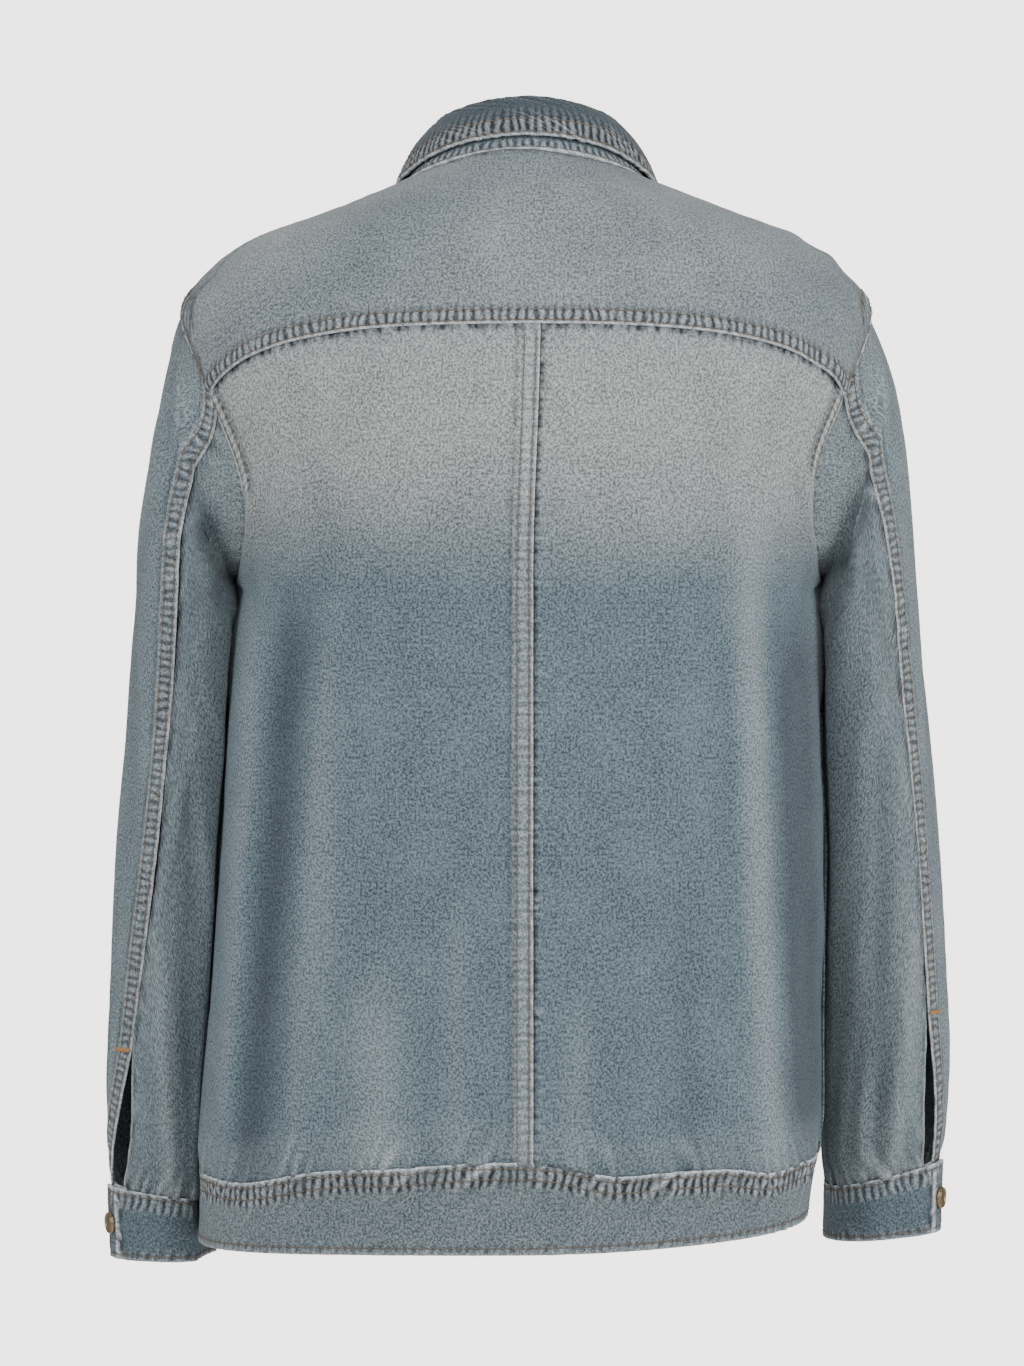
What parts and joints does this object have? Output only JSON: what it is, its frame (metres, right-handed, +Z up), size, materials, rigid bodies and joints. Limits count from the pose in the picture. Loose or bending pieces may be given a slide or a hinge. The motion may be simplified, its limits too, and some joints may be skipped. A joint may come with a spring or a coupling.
{
  "type": "denim jacket",
  "caption": "Worn-shape denim shirt jacket with a folded collar, back yoke, felled seams, two-piece sleeves with open slits, buttoned cuffs and a hem band.",
  "frame": {"origin": "middle of the neck opening, level with the neck seam at the shoulders, where the wearer holds the jacket up", "axes": "+Z up, +X to the wearer's left, the front faces -Y"},
  "size_m": [0.5541, 0.3023, 0.7515],
  "materials": {
    "denim": "washed blue-grey cotton twill with worn pale seam edges",
    "denim_faded": "the same twill, faded grey",
    "button": "antique shank buttons, satin"
  },
  "bodies": {
    "root": {"back_yoke": "denim_faded", "back_panel_left": "denim", "back_panel_right": "denim", "front_left": "denim", "front_right": "denim", "placket_left": "denim", "placket_right": "denim", "sleeve_upper_left": "denim", "sleeve_under_left": "denim", "sleeve_upper_right": "denim", "sleeve_under_right": "denim", "cuff_left": "denim", "cuff_right": "denim", "hem_band": "denim", "collar_stand": "denim_faded", "collar_fall": "denim_faded", "front_button_1": "button", "front_button_2": "button", "front_button_3": "button", "front_button_4": "button", "front_button_5": "button", "front_button_6": "button", "band_button": "button", "stand_button": "button", "cuff_button_left": "button", "cuff_button_right": "button"}
  },
  "joints": []
}
